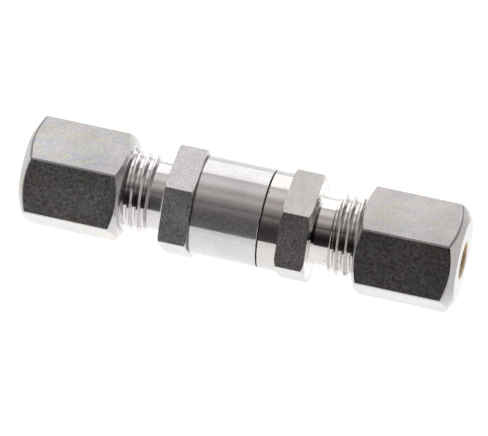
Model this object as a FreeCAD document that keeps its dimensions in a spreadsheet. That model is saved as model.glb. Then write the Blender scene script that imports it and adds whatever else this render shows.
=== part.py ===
import FreeCAD, Part
import os
import Sketcher

# In-line check valve with a cutting-ring tube fitting at each end, in millimetres.
# X runs along the bore from inlet to outlet, Z is up, the origin is at mid-length on the bore axis.

os.makedirs("parts", exist_ok=True)
doc = FreeCAD.newDocument("check_valve")
sheet = doc.addObject("Spreadsheet::Sheet", "Sizes")

# driving dimensions: the tube fitting ends
SIZES = {
    "half_length": 37.6,
    "hex_flats": 17.0,
    "hex_edge": 0.18,
    "nut_length": 17.35,
    "stub_end": 24.5,
    "thread_pitch": 1.5,
    "inlet_thread_shift": 0.27,
    "outlet_thread_shift": -0.4,
    "male_crest": 6.9,
    "male_root": 6.08,
    "male_groove_half": 0.62,
    "female_crest": 6.19,
    "female_root": 7.05,
    "female_root_half": 0.105,
    "female_crest_half": 0.6,
    "neck_start": 15.55,
    "neck_rad": 5.85,
    "neck_fillet": 0.65,
    "thread_runout": 0.4,
    "socket_rad": 3.05,
    "socket_stop": 17.5,
    "cone_mouth_rad": 4.05,
    "cone_depth": 4.7,
    "flow_rad": 2.0,
    # union nut, measured from its outer end
    "nut_bore_rad": 3.15,
    "nut_cone_start": 4.3,
    "nut_pocket_rad": 5.15,
    "nut_pocket_end": 8.5,
    "nut_relief_rad": 7.15,
    "nut_thread_start": 10.5,
    "nut_end_bevel_rad": 7.0,
    "nut_corner": 0.2,
    "nut_round": 0.6,
    "nut_mouth_bevel_rad": 7.9,
    # cutting ring
    "ring_nose": 23.55,
    "ring_length": 9.5,
    "ring_bore_rad": 3.08,
    "ring_nose_rad": 3.65,
    "ring_neck_rad": 4.0,
    "ring_neck_end": 4.8,
    "ring_rear_rad": 4.95,
    "ring_rear_edge": 3.35,
    "ring_taper": 2.2,
    "ring_lead": 0.9,
    "ring_groove_start": 2.4,
    "ring_groove_end": 3.7,
    "ring_groove_depth": 0.1,
    # body hexagons and barrel
    "inlet_hex_outer": 12.68,
    "inlet_hex_inner": 7.82,
    "inlet_hex_bevel_rad": 9.45,
    "outlet_hex_outer": 12.4,
    "outlet_hex_inner": 7.35,
    "outlet_hex_bevel_rad": 9.2,
    "barrel_rad": 8.45,
    "undercut_width": 0.3,
    "undercut_depth": 0.22,
    "seam": 4.0,
    "seam_gap": 0.24,
    "seam_depth": 0.6,
    "seam_clearance": 0.02,
    "seam_bevel": 0.06,
    # inside the inlet body
    "seat_start": 12.0,
    "chamber_rad": 5.6,
    "ledge": 2.6,
    "body_relief_end": 1.6,
    "body_pitch": 1.0,
    "body_thread_start": 0.6,
    "body_male_crest": 6.9,
    "body_male_root": 6.3,
    "body_female_crest": 6.45,
    "body_female_root": 7.05,
    "body_thread_reach": 7.0,
    "body_female_near_half": 0.45,
    "body_female_far_half": 0.1,
    "body_male_near_half": 0.06,
    "body_male_far_half": 0.464,
    # outlet stud spigot
    "spigot_end": 4.6,
    "spigot_rad": 5.5,
    "guide_rad": 3.6,
    "spring_shoulder": 5.0,
    "seal_groove_rad": 4.41,
    "seal_groove_left": 4.25,
    "seal_groove_right": 2.95,
    "body_seal_rad": 0.58,
    # poppet
    "poppet_front": 12.4,
    "poppet_front_rad": 1.53,
    "poppet_head_rad": 4.3,
    "poppet_head_end": 8.4,
    "skirt_rad": 3.55,
    "skirt_bore_rad": 2.75,
    "spring_seat": 9.0,
    "skirt_end": 0.8,
    "port_place": 7.2,
    "port_rad": 0.9,
    "port_count": 4,
    "poppet_groove_left": 11.17,
    "poppet_groove_right": 10.03,
    "poppet_groove_rad": 2.03,
    "poppet_seal_place": 10.6,
    "poppet_seal_mid_rad": 2.594,
    "poppet_seal_rad": 0.55,
    # spring
    "spring_wire": 0.3,
    "spring_mid_rad": 2.2,
    "spring_pitch": 1.66,
    "spring_gap": 0.02,
}
for row, (alias, number) in enumerate(SIZES.items(), start=1):
    sheet.set(f"A{row}", alias)
    sheet.set(f"B{row}", str(number))
    sheet.setAlias(f"B{row}", alias)
doc.recompute()

TAN_30 = 0.5773502692


class Size:
    """A length that knows both its value and the spreadsheet expression it comes from."""

    def __init__(self, value, text):
        self.value = value
        self.text = text

    def __add__(self, other):
        other = as_size(other)
        return Size(self.value + other.value, f"({self.text} + {other.text})")

    def __sub__(self, other):
        other = as_size(other)
        return Size(self.value - other.value, f"({self.text} - {other.text})")

    def __mul__(self, number):
        return Size(self.value * number, f"({self.text} * {number})")

    def __neg__(self):
        return Size(-self.value, f"(0 - {self.text})")


def as_size(value):
    return value if isinstance(value, Size) else Size(float(value), str(float(value)))


def size(alias):
    return Size(float(SIZES[alias]), f"Sizes.{alias}")


def origin_part(body, role):
    """One of the body's own datum planes or axes."""
    return next(feature for feature in body.Origin.OriginFeatures if feature.Role == role)


def sketch_on(body, role, name):
    sketch = body.newObject("Sketcher::SketchObject", name)
    sketch.AttachmentSupport = [(origin_part(body, role), "")]
    sketch.MapMode = "FlatFace"
    return sketch


def bind(sketch, kind, geometry, point, target):
    """Fix one coordinate of a sketch point, from the sketch origin, to a size."""
    target = as_size(target)
    if target.value == 0:
        axis = -2 if kind == "DistanceX" else -1
        sketch.addConstraint(Sketcher.Constraint("PointOnObject", geometry, point, axis))
        return
    row = sketch.addConstraint(Sketcher.Constraint(kind, -1, 1, geometry, point, target.value))
    sketch.setExpression(f"Constraints[{row}]", target.text)


def outline(body, name, points):
    """A closed outline on the XZ plane: each point is a place along the axis and a radius."""
    sketch = sketch_on(body, "XZ_Plane", name)
    spots = [FreeCAD.Vector(as_size(x).value, as_size(r).value, 0) for x, r in points]
    for here, there in zip(spots, spots[1:] + spots[:1]):
        sketch.addGeometry(Part.LineSegment(here, there), False)
    count = len(points)
    for index in range(count):
        sketch.addConstraint(Sketcher.Constraint("Coincident", index, 2, (index + 1) % count, 1))
    for index, (x, r) in enumerate(points):
        bind(sketch, "DistanceX", index, 1, x)
        bind(sketch, "DistanceY", index, 1, r)
    return sketch


def turn(body, kind, name, points):
    """Revolve an outline about the bore axis, as added (Revolution) or removed (Groove) stock."""
    sketch = outline(body, name + "_outline", points)
    feature = body.newObject("PartDesign::" + kind, name)
    feature.Profile = sketch
    feature.ReferenceAxis = (sketch, ["H_Axis"])
    feature.Angle = 360
    sketch.Visibility = False
    body.Tip = feature
    doc.recompute()
    return feature


def thread(body, kind, name, start, length, pitch, near, far):
    """A right-hand helical ridge or groove; near and far are its (radius, half width) pairs."""
    (near_rad, near_half), (far_rad, far_half) = near, far
    points = [
        (start - near_half, near_rad),
        (start - far_half, far_rad),
        (start + far_half, far_rad),
        (start + near_half, near_rad),
    ]
    sketch = outline(body, name + "_profile", points)
    feature = body.newObject("PartDesign::" + kind, name)
    feature.Profile = sketch
    feature.ReferenceAxis = (sketch, ["H_Axis"])
    feature.Mode = 0
    feature.setExpression("Pitch", as_size(pitch).text)
    feature.setExpression("Height", as_size(length).text)
    sketch.Visibility = False
    body.Tip = feature
    doc.recompute()
    return feature


def hexagon(body, name, start, length):
    """A hexagonal prism along X with a flat downwards, added to the body."""
    sketch = sketch_on(body, "YZ_Plane", name + "_outline")
    sketch.AttachmentOffset = FreeCAD.Placement(FreeCAD.Vector(0, 0, start.value), FreeCAD.Rotation())
    sketch.setExpression("AttachmentOffset.Base.z", start.text)
    corner = size("hex_flats") * TAN_30
    spots = []
    for step in range(6):
        direction = FreeCAD.Rotation(FreeCAD.Vector(0, 0, 1), 60 * step).multVec(FreeCAD.Vector(1, 0, 0))
        spots.append(direction * corner.value)
    for here, there in zip(spots, spots[1:] + spots[:1]):
        sketch.addGeometry(Part.LineSegment(here, there), False)
    circle = sketch.addGeometry(Part.Circle(FreeCAD.Vector(), FreeCAD.Vector(0, 0, 1), corner.value), True)
    for index in range(6):
        sketch.addConstraint(Sketcher.Constraint("Coincident", index, 2, (index + 1) % 6, 1))
        sketch.addConstraint(Sketcher.Constraint("PointOnObject", index, 1, circle))
    for index in range(5):
        sketch.addConstraint(Sketcher.Constraint("Equal", index, index + 1))
    sketch.addConstraint(Sketcher.Constraint("Coincident", circle, 3, -1, 1))
    sketch.addConstraint(Sketcher.Constraint("PointOnObject", 0, 1, -1))
    row = sketch.addConstraint(Sketcher.Constraint("Radius", circle, corner.value))
    sketch.setExpression(f"Constraints[{row}]", corner.text)
    pad = body.newObject("PartDesign::Pad", name)
    pad.Profile = sketch
    pad.setExpression("Length", length.text)
    sketch.Visibility = False
    body.Tip = pad
    doc.recompute()
    return pad


def dress_edges(body, kind, name, wanted, alias):
    """Fillet or chamfer the edges of the body's last feature that wanted() picks."""
    last = body.Tip
    names = [f"Edge{index}" for index, edge in enumerate(last.Shape.Edges, start=1) if wanted(edge)]
    feature = body.newObject("PartDesign::" + kind, name)
    feature.Base = (last, names)
    feature.setExpression("Radius" if kind == "Fillet" else "Size", f"Sizes.{alias}")
    body.Tip = feature
    doc.recompute()


def off_axis(point):
    return (point.y ** 2 + point.z ** 2) ** 0.5


def long_corner(edge):
    """True for the edges along X at the six corners of a hexagon."""
    corner = (size("hex_flats") * TAN_30).value
    ends = [vertex.Point for vertex in edge.Vertexes]
    at_corner = len(ends) == 2 and all(abs(off_axis(end) - corner) < 0.01 for end in ends)
    return at_corner and abs(ends[0].x - ends[1].x) > 0.5


def flat_end(edge):
    """True for the edges where a nut's flats and corners meet its outer bevel."""
    middle = edge.valueAt((edge.FirstParameter + edge.LastParameter) / 2)
    return edge.Curve.TypeId != "Part::GeomLine" and middle.x < 3 and off_axis(middle) > 8.3


def bevel(body, name, face, rad, inwards):
    """A 30 degree turned bevel on a hexagon's end face; inwards is +1 or -1 along X."""
    reach = 12.0
    rise = as_size(reach) - rad
    depth = rise * TAN_30
    back = face + depth if inwards > 0 else face - depth
    turn(body, "Groove", name, [(face, rad), (back, reach), (face, reach)])


def stub_stock(hexagon_face):
    """Outer line of a threaded stub, from its end on the axis to the hexagon face."""
    end = -size("stub_end")
    crest = size("male_crest")
    root = size("neck_rad")
    chamfer = crest - root + 0.1
    return [
        (end, 0),
        (end, root - 0.1),
        (end + chamfer, crest),
        (-size("neck_start") - size("thread_runout"), crest),
        (-size("neck_start"), root),
        (hexagon_face - size("neck_fillet"), root),
        (hexagon_face - size("neck_fillet") * 0.3, root + size("neck_fillet") * 0.3),
        (hexagon_face, root + size("neck_fillet")),
    ]


def tube_end_bore(body):
    """The 24 degree cone and the tube socket with its stop."""
    end = -size("stub_end")
    turn(body, "Groove", "tube_end", [
        (end - 1.0, 0),
        (end - 1.0, size("cone_mouth_rad")),
        (end, size("cone_mouth_rad")),
        (end + size("cone_depth"), size("socket_rad")),
        (-size("socket_stop"), size("socket_rad")),
        (-size("socket_stop"), 0),
    ])


def stub_thread(body, shift):
    """The stub's outside thread; the groove runs out into the neck."""
    start = -size("stub_end") - size("thread_pitch") + shift
    length = size("stub_end") - size("neck_start") + size("thread_pitch") + 0.6
    over = as_size(0.2)
    depth = size("male_crest") - size("male_root")
    thread(body, "SubtractiveHelix", "thread", start, length, size("thread_pitch"),
           (size("male_root"), size("male_groove_half") - depth * TAN_30),
           (size("male_crest") + over, size("male_groove_half") + over * TAN_30))


def new_body(label, placement=None):
    body = doc.addObject("PartDesign::Body", label)
    body.Label = label
    if placement is not None:
        body.Placement = placement
    return body


def inlet_body():
    body = new_body("inlet_body")
    face = -size("inlet_hex_outer")
    shoulder = -size("inlet_hex_inner")
    rad = size("barrel_rad")
    end = size("seam") - size("seam_gap") * 0.5
    turn(body, "Revolution", "stock", stub_stock(face) + [
        (shoulder, size("neck_rad") + size("neck_fillet")),
        (shoulder, rad - size("undercut_depth")),
        (shoulder + size("undercut_width"), rad - size("undercut_depth")),
        (shoulder + size("undercut_width"), rad),
        (end - size("seam_bevel"), rad),
        (end, rad - size("seam_bevel")),
        (end, 0),
    ])
    hexagon(body, "hexagon", face, size("inlet_hex_outer") - size("inlet_hex_inner"))
    dress_edges(body, "Fillet", "long_corners", long_corner, "hex_edge")
    bevel(body, "bevel_outer", face, size("inlet_hex_bevel_rad"), 1)
    bevel(body, "bevel_inner", shoulder, size("inlet_hex_bevel_rad"), -1)
    tube_end_bore(body)
    seat_rise = size("chamber_rad") - size("flow_rad")
    mouth = size("body_female_root") + 0.1
    turn(body, "Groove", "chamber", [
        (-size("socket_stop") - 0.5, 0),
        (-size("socket_stop") - 0.5, size("flow_rad")),
        (-size("seat_start"), size("flow_rad")),
        (-size("seat_start") + seat_rise, size("chamber_rad")),
        (-size("ledge"), size("chamber_rad")),
        (-size("ledge"), mouth),
        (-size("body_relief_end"), mouth),
        (-size("body_relief_end") + 0.7, size("body_female_crest")),
        (end - 0.6, size("body_female_crest")),
        (end, size("body_female_crest") + 0.6),
        (end + 1.0, size("body_female_crest") + 0.6),
        (end + 1.0, 0),
    ])
    # the stud's groove starts in its relief behind the collar, and its ridge lies half a pitch on
    start = size("seam") + size("seam_gap") * 0.5 - size("body_thread_start") - size("body_pitch") * 5.5
    thread(body, "SubtractiveHelix", "body_thread", start, size("body_thread_reach"), size("body_pitch"),
           (size("body_female_crest") - 0.1, size("body_female_near_half")),
           (size("body_female_root"), size("body_female_far_half")))
    stub_thread(body, size("inlet_thread_shift"))
    return body


def outlet_stud():
    """Built with its stub towards -X like the inlet, then turned half round about Z."""
    half_turn = FreeCAD.Placement(FreeCAD.Vector(), FreeCAD.Rotation(FreeCAD.Vector(0, 0, 1), 180))
    body = new_body("outlet_stud", half_turn)
    face = -size("outlet_hex_outer")
    shoulder = -size("outlet_hex_inner")
    rad = size("barrel_rad")
    end = -size("seam") - size("seam_gap") * 0.5
    # the collar's inner face stands forward to the barrel, so the seam is only a shallow groove
    stop = end + size("seam_gap") - size("seam_clearance")
    relief = size("body_male_root") - 0.1
    crest = size("body_male_crest")
    turn(body, "Revolution", "stock", stub_stock(face) + [
        (shoulder, size("neck_rad") + size("neck_fillet")),
        (shoulder, rad),
        (end - size("seam_bevel"), rad),
        (end, rad - size("seam_bevel")),
        (end, rad - size("seam_depth")),
        (stop, rad - size("seam_depth")),
        (stop, relief),
        (end + 1.1, relief),
        (end + 1.6, crest),
        (size("ledge") - 0.6, crest),
        (size("ledge"), crest - 0.6),
        (size("ledge"), size("spigot_rad")),
        (size("seal_groove_right"), size("spigot_rad")),
        (size("seal_groove_right"), size("seal_groove_rad")),
        (size("seal_groove_left"), size("seal_groove_rad")),
        (size("seal_groove_left"), size("spigot_rad")),
        (size("spigot_end") - 0.15, size("spigot_rad")),
        (size("spigot_end"), size("spigot_rad") - 0.15),
        (size("spigot_end"), 0),
    ])
    hexagon(body, "hexagon", face, size("outlet_hex_outer") - size("outlet_hex_inner"))
    dress_edges(body, "Fillet", "long_corners", long_corner, "hex_edge")
    bevel(body, "bevel_outer", face, size("outlet_hex_bevel_rad"), 1)
    bevel(body, "bevel_inner", shoulder, size("outlet_hex_bevel_rad"), -1)
    tube_end_bore(body)
    turn(body, "Groove", "guide_bore", [
        (-size("socket_stop") - 0.5, 0),
        (-size("socket_stop") - 0.5, size("flow_rad")),
        (-size("spring_shoulder"), size("flow_rad")),
        (-size("spring_shoulder"), size("guide_rad")),
        (size("spigot_end") - 0.3, size("guide_rad")),
        (size("spigot_end"), size("guide_rad") + 0.3),
        (size("spigot_end") + 1.0, size("guide_rad") + 0.3),
        (size("spigot_end") + 1.0, 0),
    ])
    start = end + size("body_thread_start")
    thread(body, "SubtractiveHelix", "body_thread", start, size("body_thread_reach"), size("body_pitch"),
           (size("body_male_root"), size("body_male_near_half")),
           (crest + 0.1, size("body_male_far_half")))
    stub_thread(body, size("outlet_thread_shift"))
    return body


def union_nut(label, placement, thread_shift):
    """A cap nut, drawn with its outer end at its own origin and its mouth towards +X."""
    body = new_body(label, placement)
    zero = as_size(0)
    length = size("nut_length")
    hexagon(body, "hexagon", zero, length)
    dress_edges(body, "Chamfer", "long_corners", long_corner, "nut_corner")
    bevel(body, "bevel_mouth", length, size("nut_mouth_bevel_rad"), -1)
    bevel(body, "bevel_outer", zero, size("nut_end_bevel_rad"), 1)
    dress_edges(body, "Fillet", "rounding", flat_end, "nut_round")
    cone_start = size("nut_cone_start")
    cone_rise = size("nut_pocket_rad") - size("nut_bore_rad")
    step = size("nut_relief_rad") - size("nut_pocket_rad")
    thread_start = size("nut_thread_start")
    mouth = size("female_root") + 0.1
    turn(body, "Groove", "bore", [
        (-1.0, 0),
        (-1.0, size("nut_bore_rad") + 0.2),
        (zero, size("nut_bore_rad") + 0.2),
        (0.2, size("nut_bore_rad")),
        (cone_start, size("nut_bore_rad")),
        (cone_start + cone_rise, size("nut_pocket_rad")),
        (size("nut_pocket_end") - step, size("nut_pocket_rad")),
        (size("nut_pocket_end"), size("nut_relief_rad")),
        (thread_start - 0.9, size("nut_relief_rad")),
        (thread_start, size("female_crest")),
        (length - (mouth - size("female_crest")), size("female_crest")),
        (length, mouth),
        (length + 1.0, mouth),
        (length + 1.0, 0),
    ])
    # the stub groove passes through the stub end less one pitch, and a ridge lies half a pitch on
    stub_phase = size("half_length") - size("stub_end") - size("thread_pitch") + thread_shift
    start = stub_phase - size("thread_pitch") * 1.5
    reach = length - start + size("thread_pitch")
    over = as_size(0.1)
    thread(body, "SubtractiveHelix", "thread", start, reach, size("thread_pitch"),
           (size("female_crest") - over, size("female_crest_half") + over * TAN_30),
           (size("female_root"), size("female_root_half")))
    return body


def cutting_ring(label, placement):
    """The wedge ring, drawn with its rear end at its own origin and its nose towards +X."""
    body = new_body(label, placement)
    length = size("ring_length")
    bore = size("ring_bore_rad")
    depth = size("ring_groove_depth")
    groove_start = length - size("ring_groove_start")
    groove_end = length - size("ring_groove_end")
    lead = length - size("ring_lead")
    shoulder = size("ring_rear_rad") - size("ring_neck_rad")
    rear = size("ring_rear_rad") - size("ring_rear_edge")
    front = length - size("ring_neck_end")
    turn(body, "Revolution", "ring", [
        (0, bore),
        (0, size("ring_rear_edge")),
        (rear, size("ring_rear_rad")),
        (front - shoulder, size("ring_rear_rad")),
        (front, size("ring_neck_rad")),
        (length - size("ring_taper"), size("ring_neck_rad")),
        (length, size("ring_nose_rad")),
        (length, bore + depth),
        (lead, bore + depth),
        (lead, bore),
        (groove_start, bore),
        (groove_start - depth, bore + depth),
        (groove_end + depth, bore + depth),
        (groove_end, bore),
    ])
    return body


def poppet():
    body = new_body("poppet")
    front = -size("poppet_front")
    rise = size("poppet_head_rad") - size("poppet_front_rad")
    left = size("poppet_front") - size("poppet_groove_left")
    right = size("poppet_front") - size("poppet_groove_right")
    turn(body, "Revolution", "stock", [
        (front, 0),
        (front, size("poppet_front_rad")),
        (-size("poppet_groove_left"), size("poppet_front_rad") + left),
        (-size("poppet_groove_left"), size("poppet_groove_rad")),
        (-size("poppet_groove_right"), size("poppet_groove_rad")),
        (-size("poppet_groove_right"), size("poppet_front_rad") + right),
        (front + rise, size("poppet_head_rad")),
        (-size("poppet_head_end"), size("poppet_head_rad")),
        (-size("poppet_head_end"), size("skirt_rad")),
        (-size("skirt_end") - 0.2, size("skirt_rad")),
        (-size("skirt_end"), size("skirt_rad") - 0.2),
        (-size("skirt_end"), size("skirt_bore_rad")),
        (-size("spring_seat"), size("skirt_bore_rad")),
        (-size("spring_seat"), 0),
    ])
    ports = sketch_on(body, "XY_Plane", "port_outline")
    place = -size("port_place")
    hole = Part.Circle(FreeCAD.Vector(place.value, 0, 0), FreeCAD.Vector(0, 0, 1), size("port_rad").value)
    circle = ports.addGeometry(hole, False)
    ports.addConstraint(Sketcher.Constraint("PointOnObject", circle, 3, -1))
    bind(ports, "DistanceX", circle, 3, place)
    row = ports.addConstraint(Sketcher.Constraint("Radius", circle, size("port_rad").value))
    ports.setExpression(f"Constraints[{row}]", size("port_rad").text)
    port = body.newObject("PartDesign::Pocket", "port")
    port.Profile = ports
    port.Reversed = True
    port.setExpression("Length", size("poppet_head_rad").text)
    doc.recompute()
    pattern = body.newObject("PartDesign::PolarPattern", "ports")
    pattern.Originals = [port]
    pattern.Axis = (origin_part(body, "X_Axis"), [""])
    pattern.Angle = 360
    pattern.setExpression("Occurrences", "Sizes.port_count")
    body.Tip = pattern
    ports.Visibility = False
    return body


def round_ring(label, place, mid_rad, wire_rad):
    """A round-section seal ring about the bore axis."""
    ring = doc.addObject("Part::Torus", label)
    ring.Label = label
    ring.setExpression("Radius1", mid_rad.text)
    ring.setExpression("Radius2", wire_rad.text)
    ring.Placement = FreeCAD.Placement(
        FreeCAD.Vector(place.value, 0, 0), FreeCAD.Rotation(FreeCAD.Vector(0, 1, 0), 90))
    ring.setExpression("Placement.Base.x", place.text)
    return ring


def spring():
    """A round-wire compression spring between the poppet and the outlet stud's shoulder."""
    body = new_body("spring")
    wire = size("spring_wire")
    coil_rad = size("spring_mid_rad")
    start = -size("spring_seat") + wire + size("spring_gap")
    length = size("spring_seat") + size("spring_shoulder") - (wire + size("spring_gap")) * 2
    profile = sketch_on(body, "XZ_Plane", "wire")
    section = Part.Circle(FreeCAD.Vector(start.value, coil_rad.value, 0), FreeCAD.Vector(0, 0, 1), wire.value)
    circle = profile.addGeometry(section, False)
    bind(profile, "DistanceX", circle, 3, start)
    bind(profile, "DistanceY", circle, 3, coil_rad)
    row = profile.addConstraint(Sketcher.Constraint("Radius", circle, wire.value))
    profile.setExpression(f"Constraints[{row}]", wire.text)
    coil = body.newObject("PartDesign::AdditiveHelix", "coil")
    coil.Profile = profile
    coil.ReferenceAxis = (profile, ["H_Axis"])
    coil.Mode = 0
    coil.setExpression("Pitch", "Sizes.spring_pitch")
    coil.setExpression("Height", length.text)
    profile.Visibility = False
    body.Tip = coil
    doc.recompute()
    return body


def at_inlet(place):
    return FreeCAD.Placement(FreeCAD.Vector(-place, 0, 0), FreeCAD.Rotation())


def at_outlet(place):
    return FreeCAD.Placement(FreeCAD.Vector(place, 0, 0), FreeCAD.Rotation(FreeCAD.Vector(0, 0, 1), 180))


ring_rear = SIZES["ring_nose"] + SIZES["ring_length"]
nodes = [
    inlet_body(),
    outlet_stud(),
    union_nut("inlet_nut", at_inlet(SIZES["half_length"]), size("inlet_thread_shift")),
    union_nut("outlet_nut", at_outlet(SIZES["half_length"]), size("outlet_thread_shift")),
    cutting_ring("inlet_cutting_ring", at_inlet(ring_rear)),
    cutting_ring("outlet_cutting_ring", at_outlet(ring_rear)),
    poppet(),
    round_ring("poppet_seal", -size("poppet_seal_place"), size("poppet_seal_mid_rad"),
               size("poppet_seal_rad")),
    round_ring("body_seal", -(size("seal_groove_left") + size("seal_groove_right")) * 0.5,
               size("chamber_rad") - size("body_seal_rad") - 0.02, size("body_seal_rad")),
    spring(),
]

doc.recompute()
for thing in doc.Objects:
    if "Invalid" in thing.State or "Error" in thing.State:
        raise RuntimeError(f"{thing.Label} did not recompute: {thing.State}")
for node in nodes:
    shape = node.Shape
    if shape.isNull() or not shape.isValid() or len(shape.Solids) != 1:
        raise RuntimeError(f"{node.Label} is not one valid solid")
    shape.exportStep(f"parts/{node.Label}.step")
    print(node.Label, round(shape.Volume, 2), len(shape.Faces))
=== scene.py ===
import bpy
import math
from mathutils import Matrix, Vector


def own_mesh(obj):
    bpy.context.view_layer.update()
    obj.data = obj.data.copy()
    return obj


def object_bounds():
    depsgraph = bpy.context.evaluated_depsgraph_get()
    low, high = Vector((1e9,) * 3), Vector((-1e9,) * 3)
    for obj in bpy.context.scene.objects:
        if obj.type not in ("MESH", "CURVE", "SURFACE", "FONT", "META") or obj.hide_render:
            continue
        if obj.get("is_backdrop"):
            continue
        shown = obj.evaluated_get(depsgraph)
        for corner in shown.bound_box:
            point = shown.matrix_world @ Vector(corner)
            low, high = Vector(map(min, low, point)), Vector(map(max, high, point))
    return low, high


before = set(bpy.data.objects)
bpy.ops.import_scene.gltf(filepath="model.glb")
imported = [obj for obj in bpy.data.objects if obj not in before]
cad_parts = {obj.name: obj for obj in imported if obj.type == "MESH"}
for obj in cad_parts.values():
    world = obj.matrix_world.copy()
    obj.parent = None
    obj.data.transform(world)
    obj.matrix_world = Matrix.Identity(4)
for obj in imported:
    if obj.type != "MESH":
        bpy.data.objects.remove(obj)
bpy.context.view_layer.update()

# Looks for an in-line check valve with union nuts. Metres; X along the bore, Z up.

MM = 0.001
PER_MM = 1000.0

# Where one finish ends and the next begins, and where shade is painted into the seam and the undercut, in
# millimetres:
#  radii from the bore's axis, and places along it, counted from mid-length. Each is the start and the end of
#  a short change.
LARGE_DIAMETER = (7.2, 8.0)
HEXAGON_FLAT = (8.465, 8.485)
STUB_THREAD = (15.3, 15.6)
ABOVE_BORE = (4.6, 4.9)
# the seam, the undercut and the groove floor bound the shade painted into those gaps
SEAM_START = (3.5, 3.55)
SEAM_END = (4.45, 4.5)
UNDERCUT_START = (7.4, 7.45)
UNDERCUT_END = (7.8, 7.84)
GROOVE_FLOOR = (8.2, 8.38)
NUT_HOLE = (3.2, 3.45)

# the middle part of a noise's values, which a surface's height or shade is spread over
NOISE = (0.3, 0.7)


# ---------------------------------------------------------------- node helpers

class Nodes:
    """Short calls for building a node tree."""

    def __init__(self, tree):
        self.tree = tree
        tree.nodes.clear()

    def add(self, kind, **settings):
        node = self.tree.nodes.new(kind)
        for key, value in settings.items():
            setattr(node, key, value)
        return node

    def link(self, source, target):
        self.tree.links.new(source, target)

    def feed(self, socket, value):
        if hasattr(value, "is_output"):
            self.link(value, socket)
        else:
            socket.default_value = value

    def math(self, operation, first, second=None, clamp=False):
        node = self.add("ShaderNodeMath", operation=operation, use_clamp=clamp)
        self.feed(node.inputs[0], first)
        if second is not None:
            self.feed(node.inputs[1], second)
        return node.outputs[0]

    def span(self, value, low, high, out_low, out_high):
        node = self.add("ShaderNodeMapRange")
        for socket, number in zip(node.inputs, (value, low, high, out_low, out_high)):
            self.feed(socket, number)
        return node.outputs[0]

    def mix_color(self, factor, first, second, blend="MIX"):
        node = self.add("ShaderNodeMix", data_type="RGBA", blend_type=blend)
        self.feed(node.inputs[0], factor)
        self.feed(node.inputs[6], first)
        self.feed(node.inputs[7], second)
        return node.outputs[2]

    def noise(self, vector, scale, detail=2.0, rough=0.5, distortion=0.0):
        node = self.add("ShaderNodeTexNoise", noise_dimensions="3D")
        self.link(vector, node.inputs["Vector"])
        node.inputs["Scale"].default_value = scale
        node.inputs["Detail"].default_value = detail
        node.inputs["Roughness"].default_value = rough
        node.inputs["Distortion"].default_value = distortion
        return node.outputs["Fac"]

    def blend(self, factor, first, second):
        node = self.add("ShaderNodeMix", data_type="FLOAT")
        self.feed(node.inputs[0], factor)
        self.feed(node.inputs[2], first)
        self.feed(node.inputs[3], second)
        return node.outputs[0]

    def length(self, vector):
        node = self.add("ShaderNodeVectorMath", operation="LENGTH")
        self.link(vector, node.inputs[0])
        return node.outputs["Value"]

    def stretch(self, vector, factors):
        node = self.add("ShaderNodeVectorMath", operation="MULTIPLY")
        self.link(vector, node.inputs[0])
        node.inputs[1].default_value = factors
        return node.outputs[0]

    def ramp(self, value, stops):
        node = self.add("ShaderNodeValToRGB")
        self.link(value, node.inputs[0])
        band = node.color_ramp
        while len(band.elements) > 1:
            band.elements.remove(band.elements[-1])
        band.elements[0].position = stops[0][0]
        band.elements[0].color = stops[0][1]
        for place, color in stops[1:]:
            band.elements.new(place).color = color
        return node.outputs["Color"]


def grey(level):
    return (level, level, level, 1.0)


def new_material(name):
    material = bpy.data.materials.new(name)
    material.use_nodes = True
    return material, Nodes(material.node_tree)


# ---------------------------------------------------------------- metals

def tool_marks(n, where, lay):
    """Height of the surface marks: rings round the bore, lines along it, or plain grain."""
    if lay == "turned":
        return n.noise(n.stretch(where, (PER_MM * 9.0, PER_MM * 0.12, PER_MM * 0.12)), 1.0, 3.0, 0.65)
    if lay == "drawn":
        return n.noise(n.stretch(where, (PER_MM * 0.35, PER_MM * 7.0, PER_MM * 7.0)), 1.0, 3.0, 0.65)
    if lay == "milled":
        return n.noise(n.stretch(where, (PER_MM * 5.0, PER_MM * 0.5, PER_MM * 0.5)), 1.0, 4.0, 0.7)
    return n.noise(where, PER_MM * 2.2, 4.0, 0.7)


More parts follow.
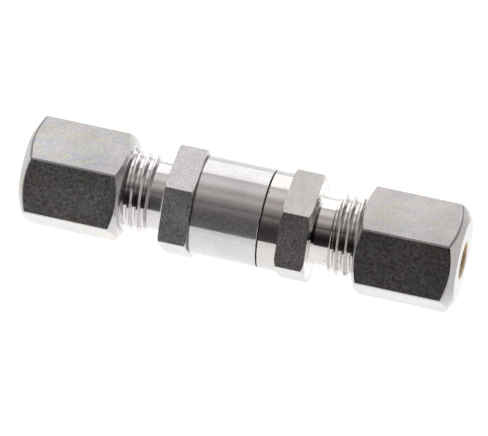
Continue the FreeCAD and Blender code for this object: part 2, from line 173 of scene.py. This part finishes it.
def steel(name, color, rough, lay, grain=0.4, grain_size=0.25, stains=0.0, patch=0.06, pits=0.0, relief=0.25,
          film=(0.0, 0.0), flats=None, stub=False, bore_tint=None):
    """Stainless steel. flats = (lay, roughness, shade, relief, film) sets the hexagon apart.

    film is how much dull film lies on the metal, on small and on large diameters. stub keeps the threads
    bright and paints shade into the seam between the two halves and into the undercut. bore_tint colours the
    hole in a nut.
    """
    material, n = new_material(name)
    where = n.add("ShaderNodeTexCoord").outputs["Object"]
    surface = n.add("ShaderNodeBsdfPrincipled")
    surface.inputs["IOR"].default_value = 1.45
    output = n.add("ShaderNodeOutputMaterial")
    n.link(surface.outputs[0], output.inputs[0])

    fine = n.noise(where, PER_MM / grain_size, 3.0, 0.6)
    broad = n.noise(where, PER_MM * 0.16, 3.0, 0.55)
    mottle = n.noise(where, PER_MM * 1.9, 3.0, 0.65)
    marks = tool_marks(n, where, lay)
    radius = n.length(n.stretch(where, (0.0, PER_MM, PER_MM)))
    depth = relief
    shade = 1.0
    worn = rough
    dull = n.span(radius, *LARGE_DIAMETER, *film)
    uneven = 0.3 if flats else 0.9
    dark_marks = 0.95
    if flats:
        flat_lay, flat_rough, flat_shade, flat_relief, flat_film = flats
        on_flat = n.span(radius, *HEXAGON_FLAT, 0.0, 1.0)
        marks = n.blend(on_flat, marks, tool_marks(n, where, flat_lay))
        worn = n.blend(on_flat, rough, flat_rough)
        shade = n.blend(on_flat, 1.0, flat_shade)
        depth = n.blend(on_flat, relief, flat_relief)
        dull = n.blend(on_flat, dull, flat_film)
        uneven = n.blend(on_flat, uneven, 0.7)
        dark_marks = n.blend(on_flat, dark_marks, 0.82)
    if stub:
        along = n.length(n.stretch(where, (PER_MM, 0.0, 0.0)))
        past_neck = n.span(along, *STUB_THREAD, 0.0, 1.0)
        threaded = n.math("MULTIPLY", past_neck, n.span(radius, *ABOVE_BORE, 0.0, 1.0))
        # painted shade: the seam between the two halves and the undercut next to the hexagon are darkened to
        # near black below the groove floor
        in_seam = n.math("MULTIPLY", n.span(along, *SEAM_START, 0.0, 1.0), n.span(along, *SEAM_END, 1.0, 0.0))
        undercut_start = n.span(along, *UNDERCUT_START, 0.0, 0.9)
        in_undercut = n.math("MULTIPLY", undercut_start, n.span(along, *UNDERCUT_END, 1.0, 0.0))
        either = n.math("ADD", in_seam, in_undercut)
        painted_groove_shade = n.math("MULTIPLY", either, n.span(radius, *GROOVE_FLOOR, 1.0, 0.0))
        shade = n.blend(painted_groove_shade, shade, 0.04)
        worn = n.blend(threaded, worn, 0.08)
        dull = n.blend(threaded, dull, 0.0)

    tone = n.math("MULTIPLY", shade, n.span(broad, *NOISE, 1.0 - patch, 1.0 + patch))
    tone = n.math("MULTIPLY", tone, n.span(marks, *NOISE, dark_marks, 1.05))
    tone = n.math("MULTIPLY", tone, n.span(fine, *NOISE, 1.0 - grain * 0.1, 1.0 + grain * 0.1))
    base = n.add("ShaderNodeCombineColor")
    for socket, part in zip(base.inputs, color):
        n.link(n.math("MULTIPLY", tone, part), socket)
    paint = base.outputs[0]
    if stains > 0:
        cloud = n.noise(n.stretch(where, (PER_MM * 0.07, PER_MM * 0.2, PER_MM * 0.2)), 1.0, 1.6, 0.5, 1.2)
        tint = n.ramp(cloud, [
            (0.32, (1.00, 0.97, 0.79, 1.0)),
            (0.40, (1.00, 0.90, 0.95, 1.0)),
            (0.47, (1.00, 0.98, 0.85, 1.0)),
            (0.52, (0.87, 0.90, 1.00, 1.0)),
            (0.57, (1.00, 0.92, 0.93, 1.0)),
            (0.65, (0.94, 1.00, 0.92, 1.0)),
        ])
        paint = n.mix_color(stains, paint, tint, "MULTIPLY")
    if pits > 0:
        dots = n.add("ShaderNodeTexVoronoi", feature="F1")
        n.link(where, dots.inputs["Vector"])
        dots.inputs["Scale"].default_value = PER_MM * 0.55
        spot = n.span(dots.outputs["Distance"], 0.08, 0.16, 1.0, 0.0)
        spot = n.math("MULTIPLY", spot, n.span(broad, 0.5, 0.56, 0.0, pits))
        paint = n.mix_color(spot, paint, (0.12, 0.11, 0.1, 1.0))
    if bore_tint:
        inside = n.span(radius, *NUT_HOLE, 1.0, 0.0)
        paint = n.mix_color(inside, paint, bore_tint)
        worn = n.blend(inside, worn, 0.5)
    cloudy = n.math("MULTIPLY", n.span(mottle, *NOISE, -1.0, 1.0), uneven)
    dull = n.math("MULTIPLY", dull, n.math("ADD", cloudy, 1.0))
    n.link(paint, surface.inputs["Base Color"])
    n.link(n.math("SUBTRACT", 1.0, dull, clamp=True), surface.inputs["Metallic"])

    wear = n.math("ADD", n.span(marks, *NOISE, -0.04, 0.04), n.span(fine, *NOISE, -0.03, 0.03))
    wear = n.math("ADD", wear, n.span(broad, 0.35, 0.65, -0.02, 0.02))
    n.link(n.math("ADD", wear, worn, clamp=True), surface.inputs["Roughness"])

    bump = n.add("ShaderNodeBump")
    n.feed(bump.inputs["Strength"], depth)
    bump.inputs["Distance"].default_value = 0.01 * MM
    height = n.math("ADD", n.math("MULTIPLY", marks, 0.6), n.math("MULTIPLY", fine, grain))
    n.link(height, bump.inputs["Height"])
    n.link(bump.outputs[0], surface.inputs["Normal"])
    return material


def rubber(name):
    material, n = new_material(name)
    where = n.add("ShaderNodeTexCoord").outputs["Object"]
    surface = n.add("ShaderNodeBsdfPrincipled")
    output = n.add("ShaderNodeOutputMaterial")
    n.link(surface.outputs[0], output.inputs[0])
    dust = n.noise(where, 900.0, 3.0, 0.6)
    n.link(n.ramp(dust, [(0.3, grey(0.012)), (0.7, grey(0.03))]), surface.inputs["Base Color"])
    n.link(n.span(dust, *NOISE, 0.42, 0.58), surface.inputs["Roughness"])
    bump = n.add("ShaderNodeBump")
    bump.inputs["Strength"].default_value = 0.15
    bump.inputs["Distance"].default_value = 0.01 * MM
    n.link(dust, bump.inputs["Height"])
    n.link(bump.outputs[0], surface.inputs["Normal"])
    return material


def dress():
    """Give every CAD node its finish."""
    left_nut = steel("inlet_nut_steel", (0.61, 0.613, 0.622), 0.2, "none", grain=0.7, grain_size=0.3,
                     stains=0.9, patch=0.1, relief=0.5, film=(0.18, 0.18), bore_tint=(0.8, 0.68, 0.5, 1.0))
    right_nut = steel("outlet_nut_steel", (0.55, 0.541, 0.545), 0.16, "none", grain=0.7, grain_size=0.3,
                      stains=0.6, patch=0.1, relief=0.5, film=(0.13, 0.13), bore_tint=(0.9, 0.76, 0.55, 1.0))
    body = steel("body_steel", (0.71, 0.69, 0.69), 0.11, "turned", grain=0.45, stub=True, film=(0.22, 0.32),
                 flats=("none", 0.27, 0.97, 1.3, 0.24))
    stud = steel("stud_steel", (0.655, 0.635, 0.615), 0.05, "turned", grain=0.2, pits=0.5, stub=True,
                 film=(0.0, 0.1), flats=("milled", 0.25, 0.95, 1.2, 0.15))
    ring = steel("ring_steel", (0.62, 0.56, 0.45), 0.2, "turned")
    plain = steel("poppet_steel", (0.62, 0.61, 0.6), 0.16, "turned")
    wire = steel("spring_steel", (0.5, 0.5, 0.5), 0.2, "drawn")
    seal = rubber("seal_rubber")
    finishes = {
        "inlet_nut": left_nut, "outlet_nut": right_nut,
        "inlet_body": body, "outlet_stud": stud,
        "inlet_cutting_ring": ring, "outlet_cutting_ring": ring,
        "poppet": plain, "spring": wire,
        "poppet_seal": seal, "body_seal": seal,
    }
    for node, material in finishes.items():
        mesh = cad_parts[node].data
        mesh.materials.clear()
        mesh.materials.append(material)


def shorten_spring():
    """Gives the spring a mesh of its own; it is not shortened here. The spring is pressed against its seat in
    the outlet stud as the poppet lifts.
    """
    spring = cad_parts["spring"]
    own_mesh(spring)


# ---------------------------------------------------------------- floor, light and camera

def floor():
    """A white table that glows with painted light and ends a little in front of the valve, so the steel shows
    a dark room beyond it.
    """
    far = 3.0
    front = -0.148
    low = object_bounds()[0][2]
    mesh = bpy.data.meshes.new("floor")
    corners = [(-far, front, low), (far, front, low), (far, far, low), (-far, far, low)]
    mesh.from_pydata(corners, [], [(0, 1, 2, 3)])
    plane = bpy.data.objects.new("floor", mesh)
    bpy.context.scene.collection.objects.link(plane)
    material, n = new_material("floor")
    where = n.add("ShaderNodeTexCoord").outputs["Object"]
    surface = n.add("ShaderNodeBsdfPrincipled")
    surface.inputs["Roughness"].default_value = 0.7
    n.link(n.ramp(n.noise(where, 6.0), [(0.3, grey(0.22)), (0.7, grey(0.25))]), surface.inputs["Base Color"])
    surface.inputs["Emission Color"].default_value = grey(1.0)
    away = n.length(n.stretch(where, (0.0, PER_MM, 0.0)))
    along = n.length(n.stretch(where, (PER_MM, 0.0, 0.0)))
    # painted light: the table glows instead of being lit, a painted pool of light brightest under the valve
    # that fades beyond its ends; only the steel sees it, the camera sees the table evenly white
    painted_pool_of_light = n.span(away, 12.0, 60.0, 1.12, 0.86)
    past_ends = n.span(along, 38.0, 48.0, 1.0, 0.75)
    glow = n.math("MULTIPLY", painted_pool_of_light, past_ends)
    seen = n.add("ShaderNodeLightPath").outputs["Is Camera Ray"]
    n.link(n.blend(seen, glow, 1.1), surface.inputs["Emission Strength"])
    output = n.add("ShaderNodeOutputMaterial")
    n.link(surface.outputs[0], output.inputs[0])
    mesh.materials.append(material)
    plane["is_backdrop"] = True


SKY_STRENGTH = 1.6


def tinted(shown):
    """Light level for a shade seen in the steel: the darks lean to plum, the middle greys to warm."""
    level = (shown / 255) ** 2.2
    if shown < 100:
        return (level, level * 0.83, level * 0.875, 1.0)
    if shown < 180:
        return (level, level * 0.92, level * 0.895, 1.0)
    if shown < 235:
        return (level, level * 0.975, level * 0.965, 1.0)
    return (level, level, level, 1.0)


# what polished steel shows of the studio, 0 to 255, against the angle in degrees from the front horizon (0),
# over the top (90), to the back horizon (180)
SKY = [
    (-180, 250), (-8, 200), (-6, 62), (3, 44), (10, 38), (21, 30), (30, 42), (38, 60),
    (45, 88), (49, 100), (52, 100), (55, 75), (58, 85), (62, 105), (67, 125), (71, 128),
    (75, 158), (80, 165), (84, 165), (88, 155), (92, 152), (97, 168), (102, 186), (107, 200),
    (113, 200), (118, 195), (123, 184), (126, 182), (129, 204), (133, 238), (140, 260), (180, 255),
]


def sky():
    """A soft studio: dark in front, soft boxes overhead, bright behind, dim past both ends of the valve."""
    world = bpy.data.worlds.new("studio")
    bpy.context.scene.world = world
    world.use_nodes = True
    n = Nodes(world.node_tree)
    direction = n.add("ShaderNodeTexCoord").outputs["Generated"]
    parts = n.add("ShaderNodeSeparateXYZ")
    n.link(direction, parts.inputs[0])
    front = n.math("MULTIPLY", parts.outputs["Y"], -1.0)
    angle = n.math("ARCTAN2", parts.outputs["Z"], front)
    place = n.span(angle, -math.pi, math.pi, 0.0, 1.0)
    glow = n.ramp(place, [((degrees + 180) / 360, tinted(shown)) for degrees, shown in SKY])
    across, along, height = (parts.outputs[name] for name in ("X", "Y", "Z"))
    behind = n.span(along, -0.1, 0.4, 0.0, 1.0)
    # the thread's flanks and the nuts' rounded ends look sideways, into the dim parts of the studio
    past_ends = n.span(n.math("ABSOLUTE", across), 0.32, 0.5, 0.0, 1.0)
    gloom = n.blend(past_ends, 1.0, n.span(behind, 0.0, 1.0, 0.12, 0.2))
    lit = n.mix_color(gloom, grey(0.0), glow)
    # the nuts' end faces see a grey screen on either side
    left = n.math("MULTIPLY", n.span(across, -0.62, -0.74, 0.0, 1.0), n.span(behind, 0.0, 1.0, 1.0, 0.3))
    right = n.math("MULTIPLY", n.span(across, 0.76, 0.84, 0.0, 1.0), n.span(height, 0.28, 0.4, 0.0, 1.0))
    lit = n.mix_color(n.math("MAXIMUM", left, right), lit, grey(0.5))
    light = n.add("ShaderNodeBackground")
    n.link(lit, light.inputs["Color"])
    light.inputs["Strength"].default_value = SKY_STRENGTH
    plain = n.add("ShaderNodeBackground")
    plain.inputs["Color"].default_value = grey(1.0)
    seen = n.add("ShaderNodeLightPath").outputs["Is Camera Ray"]
    both = n.add("ShaderNodeMixShader")
    n.link(seen, both.inputs[0])
    n.link(light.outputs[0], both.inputs[1])
    n.link(plain.outputs[0], both.inputs[2])
    output = n.add("ShaderNodeOutputWorld")
    n.link(both.outputs[0], output.inputs[0])


def camera():
    azimuth = math.radians(13.97)
    elevation = math.radians(49.8)
    roll = math.radians(1.37)
    distance = 0.900
    back = Vector((math.sin(azimuth) * math.cos(elevation), -math.cos(azimuth) * math.cos(elevation),
                   math.sin(elevation)))
    right = Vector((math.cos(azimuth), math.sin(azimuth), 0))
    up = back.cross(right)
    right, up = (right * math.cos(roll) + up * math.sin(roll), up * math.cos(roll) - right * math.sin(roll))
    lens = bpy.data.cameras.new("camera")
    lens.sensor_width = 36.0
    lens.lens = 396.1
    lens.clip_start = 0.01
    lens.clip_end = 20.0
    eye = bpy.data.objects.new("camera", lens)
    # the frame's centre looks slightly past the middle of the valve
    aim = right * -0.00022 - up * 0.00070
    turned = Matrix((right, up, back)).transposed().to_4x4()
    eye.matrix_world = Matrix.Translation(aim + back * distance) @ turned
    bpy.context.scene.collection.objects.link(eye)
    bpy.context.scene.camera = eye
    bpy.context.scene.view_settings.view_transform = "Standard"


dress()
shorten_spring()
floor()
sky()
camera()
